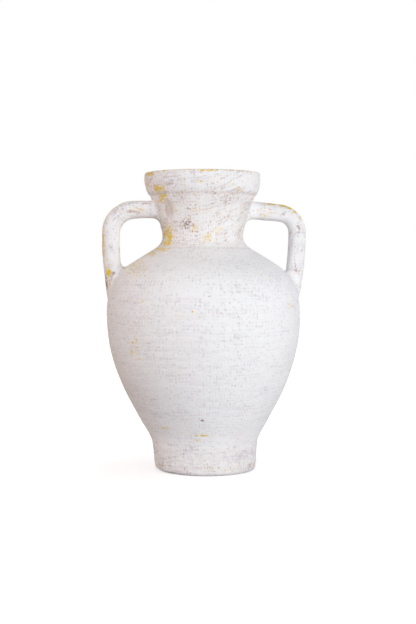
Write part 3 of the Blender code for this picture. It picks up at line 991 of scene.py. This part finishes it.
# Noise of the coats: swells to a metre, across and up, and detail with its roughness
SWELL_GRAIN = (12.0, 12.0)
PATCH_GRAIN = (34.0, 26.0)
BAND_GRAIN = (18.0, 60.0)
FINE_GRAIN = (900.0, 900.0)
MOTTLE_GRAIN = (150.0, 130.0)
SPECK_DETAIL = (3.0, 0.6)
FINE_DETAIL = (2.0, 0.6)
WEFT_SPACING = 0.0046
WEAVE_WANDER = 11.0

# How much of one noise goes into another
PATCH_IN_MARKS = 0.15
BAND_IN_MARKS = 0.28
WEAVE_IN_MARKS = 0.045
BAND_IN_DASHES = 0.60
CROWDING = 0.4
SPECKS_IN_WEAR = 2.0
WEAVE_IN_MAUVE = 0.04
WEAVE_IN_OCHRE = 0.02
PATCH_IN_BARE = 0.6

# Where each layer of a coat fades in, on the scale of what brings it out, and how much it covers then
WARM_FADE = (0.45, 0.75, 0.0, 0.50)
MOTTLE_FADE = (0.40, 0.75, 0.0, 0.10)
WASH_FADE = (0.03, 0.30, 0.0, 0.40)
MARK_FADE = (0.75, 0.95)
DASH_FADE = (0.80, 1.10)
SMEAR_AND_SHADE_FADE = (0.0, 0.90, 0.0, 0.85)
PALE_FADE = (1.26, 1.44, 0.0, 0.65)
MAUVE_FADE = (1.28, 1.46)
MAUVE_COVER = 0.78
DARK_FADE = (1.58, 1.86, 0.0, 0.80)
OCHRE_FADE = (1.42, 1.54)
OCHRE_COVER = 0.80
STRONG_FADE = (1.50, 1.60, 0.0, 0.92)
STRONG_WEAR = (0.44, 0.54)
BARE_FADE = (0.62, 0.95)

# Where the wear turns a layer's colour into the next one
PALE_TURN = (0.10, 0.40)
MAUVE_TURN = (0.24, 0.48)
RUST_TURN = (0.24, 0.46)

# Roughness and bumps
ROUGHNESS = (0.0, 0.8, 0.74, 0.95)
RUBBED_ROUGHNESS = -0.4
SHINE = 0.25
GRAIN_BUMP = 0.25
MARK_BUMP = -0.5
DASH_BUMP = -0.6
RUBBED_BUMP = -0.30
BUMP_STRENGTH = 0.6
BUMP_HEIGHT = 0.0012


class Limewash(Coat):
    """Chalky coat over terracotta: faint canvas marks, brushed dashes, specks and rubbed-through wear."""

    def __init__(self, name, marks, dashes, threads, mark_grain, dash_grain, speck_grain):
        super().__init__(name)
        self.chart = self.attribute("chart", "Vector")
        self.swell = self.noise(SWELL_GRAIN, 1.0)
        self.patch = self.noise(PATCH_GRAIN, 2.0)
        self.band = self.noise(BAND_GRAIN, 3.0)
        self.mark_noise = self.noise(mark_grain, 4.0)
        self.dash_noise = self.noise(dash_grain, 5.0)
        self.specks = self.noise(speck_grain, 6.0, *SPECK_DETAIL)
        self.other_specks = self.noise(speck_grain, 7.0, *SPECK_DETAIL)
        self.grain = self.noise(FINE_GRAIN, 8.0, *FINE_DETAIL)
        self.mottle = self.noise(MOTTLE_GRAIN, 9.0)
        self.weave = self.woven(threads)
        self.find_marks(marks, dashes)
        self.find_wear()
        self.paint()
        self.roughen()

    def noise(self, grain, place, detail=2.0, roughness=0.5):
        """Noise on the chart with this many swells to a metre, across and up, at a place of its own."""
        across, up = grain
        scale = {0: self.chart, 1: (across, across, up)}
        stretched = self.node("ShaderNodeVectorMath", scale, operation="MULTIPLY").outputs[0]
        inputs = {"Vector": stretched, "W": place, "Scale": 1.0, "Detail": detail, "Roughness": roughness}
        return self.node("ShaderNodeTexNoise", inputs, noise_dimensions="4D").outputs["Fac"]

    def woven(self, threads):
        """The canvas: threads round the pot and up it, which wander."""
        across, deep, up = self.split(self.chart)
        wander = self.calc("MULTIPLY", self.patch, WEAVE_WANDER)
        turn = self.calc("ARCTAN2", deep, across)
        weft = self.calc("SINE", self.plus(wander, (2 * math.pi / WEFT_SPACING, up)))
        warp = self.calc("SINE", self.plus(wander, (threads, turn)))
        return self.calc("ADD", weft, warp)

    def find_marks(self, marks, dashes):
        """Canvas marks and brushed dashes, which come in patches and bands."""
        self.marks = self.plus(self.mark_noise, (PATCH_IN_MARKS, self.patch), (BAND_IN_MARKS, self.band),
                               (WEAVE_IN_MARKS, self.weave))
        self.dashes = self.plus(self.dash_noise, (BAND_IN_DASHES, self.band))
        self.mark_mask = self.step(self.marks, *MARK_FADE, 0.0, marks)
        self.dash_mask = self.step(self.dashes, *DASH_FADE, 0.0, dashes)

    def find_wear(self):
        """Specks that grow and crowd where the mesh says that the coat is worn."""
        self.mauve_wear = self.attribute("mauve")
        self.ochre_wear = self.attribute("ochre")
        crowding = self.plus(-CROWDING, (CROWDING, self.calc("ADD", self.patch, self.band)))
        crowded = self.calc("ADD", self.mauve_wear, crowding)
        self.mauve = self.plus(crowded, (SPECKS_IN_WEAR, self.specks), (WEAVE_IN_MAUVE, self.weave))
        self.ochre = self.plus(self.ochre_wear, (SPECKS_IN_WEAR, self.other_specks),
                               (WEAVE_IN_OCHRE, self.weave))
        self.mauve_mask = self.step(self.mauve, *MAUVE_FADE)
        self.ochre_mask = self.step(self.ochre, *OCHRE_FADE)
        self.rubbed = self.calc("MAXIMUM", self.mauve_mask, self.ochre_mask)

    def paint(self):
        """The colours, layer over layer: chalk, marks, smears and painted shade, mauve, ochre and the bare
        clay inside.
        """
        washed = self.calc("MULTIPLY", self.ochre_wear, self.mottle)
        # Smears and painted shade, where the mesh gives them
        smeared_and_shaded = self.calc("ADD", self.mottle, self.mark_noise)
        smeared_and_shaded = self.calc("MULTIPLY", self.attribute("smear_and_shade"), smeared_and_shaded)
        strong = self.step(self.ochre, *STRONG_FADE)
        strong = self.calc("MULTIPLY", strong, self.step(self.ochre_wear, *STRONG_WEAR))
        bared = self.plus(self.attribute("bare"), (PATCH_IN_BARE, self.patch))
        pale_colour = self.mix(self.step(self.ochre_wear, *PALE_TURN), PALE_ORANGE, PALE_OCHRE)
        speck_colour = self.mix(self.step(self.mauve_wear, *MAUVE_TURN), PALE_MAUVE, MAUVE)
        rubbed_colour = self.mix(self.step(self.mauve_wear, *RUST_TURN), OCHRE, RUST)
        colour = CHALK
        for share, layer in (
            (self.step(self.swell, *WARM_FADE), WARM_CHALK),
            (self.step(self.mottle, *MOTTLE_FADE), COOL_GREY),
            (self.step(washed, *WASH_FADE), pale_colour),
            (self.mark_mask, COOL_GREY),
            (self.dash_mask, GREY_MAUVE),
            # Smears, and painted shade along the creases, over the foot and in the thumb dents
            (self.step(smeared_and_shaded, *SMEAR_AND_SHADE_FADE), SMEAR_AND_SHADE),
            (self.step(self.ochre, *PALE_FADE), pale_colour),
            (self.calc("MULTIPLY", self.mauve_mask, MAUVE_COVER), speck_colour),
            (self.step(self.mauve, *DARK_FADE), DARK_MAUVE),
            (self.calc("MULTIPLY", self.ochre_mask, OCHRE_COVER), rubbed_colour),
            (strong, STRONG_OCHRE),
            (self.step(bared, *BARE_FADE), CLAY),
        ):
            colour = self.mix(share, colour, layer)
        self.feed(self.shader, {"Base Color": colour})

    def roughen(self):
        """The grain of the chalk, in which marks, dashes and rubbed places lie lower."""
        rough = self.step(self.plus(self.grain, (RUBBED_ROUGHNESS, self.rubbed)), *ROUGHNESS)
        height = self.plus(self.calc("MULTIPLY", self.grain, GRAIN_BUMP), (MARK_BUMP, self.marks),
                           (DASH_BUMP, self.dashes), (RUBBED_BUMP, self.rubbed))
        bump = {"Strength": BUMP_STRENGTH, "Distance": BUMP_HEIGHT, "Height": height}
        normal = self.node("ShaderNodeBump", bump).outputs["Normal"]
        self.feed(self.shader, {"Roughness": rough, "Specular IOR Level": SHINE, "Normal": normal})


# Each coat: the strength of its marks and dashes, its threads round the pot, and the swells to a metre,
# across and up, of its marks, its dashes and its specks
COAT_SIZES = {
    "foot": (0.66, 0.50, 110, (220, 240), (60, 460), (210, 270)),
    "belly": (0.42, 0.20, 170, (340, 240), (70, 480), (210, 330)),
    "shoulder": (0.48, 0.18, 150, (340, 220), (80, 420), (330, 220)),
    "neck": (0.40, 0.44, 100, (220, 320), (60, 420), (200, 420)),
    "rim": (0.44, 0.62, 110, (150, 360), (50, 400), (150, 380)),
    "handle": (0.76, 0.40, 12, (380, 120), (380, 90), (340, 170)),
    "lute": (0.72, 0.38, 60, (300, 300), (200, 300), (360, 300)),
}
COATS = {piece: Limewash(piece + "_coat", *sizes).material for piece, sizes in COAT_SIZES.items()}


# Stage, light and camera. The floor is dimmer on the left, and glows less round the foot to keep a shadow
STAGE_HALF = 6.0
PALE_FLOOR = (0.62, 0.62, 0.63, 1.0)
DIM_FLOOR = (0.28, 0.19, 0.14, 1.0)
DIM_TO_PALE = (-0.40, 0.05)
SHADOW_FADE = (0.07, 0.35, 0.60, 1.0)
MORE_GLOW_ON_LEFT = 0.10
WHITE = (1.0, 1.0, 1.0, 1.0)
ROOM_COLOUR = (1.0, 0.99, 0.98, 1.0)
ROOM_STRENGTH = 0.24
LAMP_SIZE = 1.8
LAMP_AIM = Vector((0.0, 0.0, 0.22))

# Each lamp: name, place, power and colour
LAMPS = (
    ("front_window", (0.0, -2.38, 0.34), 38.0, (0.83, 0.895, 1.0)),
    ("right_window", (1.54, -1.82, 0.26), 32.5, (1.0, 0.985, 0.92)),
    ("right_wall", (2.13, 0.99, 0.60), 17.0, (0.76, 0.79, 1.0)),
    ("left_wall", (-2.15, -0.22, 1.12), 22.0, (1.0, 0.85, 0.78)),
    ("back_wall", (0.5, 2.4, 1.2), 14.0, (1.0, 0.96, 0.92)),
)


def floor_coat():
    coat = Coat("white_floor")
    position = coat.node("ShaderNodeNewGeometry", {}).outputs["Position"]
    to_right = coat.step(coat.split(position)[0], *DIM_TO_PALE)
    away = coat.node("ShaderNodeVectorMath", {0: position}, operation="LENGTH").outputs["Value"]
    to_left = coat.calc("SUBTRACT", 1.0, to_right)
    glow = coat.plus(coat.step(away, *SHADOW_FADE), (MORE_GLOW_ON_LEFT, to_left))
    glow = coat.calc("MINIMUM", glow, 1.0)
    coat.feed(coat.shader, {
        "Base Color": coat.mix(to_right, DIM_FLOOR, PALE_FLOOR),
        "Roughness": 1.0,
        "Specular IOR Level": 0.0,
        "Emission Color": WHITE,
        "Emission Strength": coat.calc("MULTIPLY", coat.seen_white(), glow),
    })
    return coat.material


def add_floor():
    half = STAGE_HALF
    corners = [(-half, -half, 0.0), (half, -half, 0.0), (half, half, 0.0), (-half, half, 0.0)]
    mesh = bpy.data.meshes.new("floor")
    mesh.from_pydata(corners, [], [(0, 1, 2, 3)])
    mesh.materials.append(floor_coat())
    floor = new_object("floor", mesh)


def add_world():
    world = bpy.data.worlds.new("white_room")
    bpy.context.scene.world = world
    world.use_nodes = True
    nodes = Nodes(world.node_tree)
    backdrop = nodes.tree.nodes["Background"]
    nodes.feed(backdrop, {"Color": WHITE})
    room = nodes.node("ShaderNodeBackground", {"Color": ROOM_COLOUR, "Strength": ROOM_STRENGTH})
    shaders = {"Fac": nodes.seen_white(), 1: room.outputs[0], 2: backdrop.outputs[0]}
    either = nodes.node("ShaderNodeMixShader", shaders)
    nodes.feed(nodes.tree.nodes["World Output"], {"Surface": either.outputs[0]})


def add_lamp(name, place, power, colour):
    lamp = bpy.data.lights.new(name, "AREA")
    lamp.shape = "SQUARE"
    lamp.size = LAMP_SIZE
    lamp.energy = power
    lamp.color = colour
    holder = new_object(name, lamp)
    holder.location = place
    holder.rotation_euler = (LAMP_AIM - Vector(place)).to_track_quat("-Z", "Y").to_euler()


def add_camera():
    turn = math.radians(CAMERA_AZIMUTH)
    right = Vector((math.cos(turn), math.sin(turn), 0.0))
    back = Vector((math.sin(turn), -math.cos(turn), 0.0))
    aim = AIM_RIGHT * right + Vector((0.0, 0.0, AIM_HEIGHT))
    lens = bpy.data.cameras.new("photograph")
    lens.lens = LENS
    camera = new_object("photograph", lens)
    camera.location = AIM_RIGHT * right + CAMERA_DISTANCE * back + Vector((0.0, 0.0, CAMERA_HEIGHT))
    camera.rotation_euler = (aim - camera.location).to_track_quat("-Z", "Y").to_euler()
    bpy.context.scene.camera = camera


thrown_rings()
handles_and_lutes()
add_floor()
add_world()
for lamp_sizes in LAMPS:
    add_lamp(*lamp_sizes)
add_camera()
bpy.context.scene.view_settings.view_transform = "Standard"
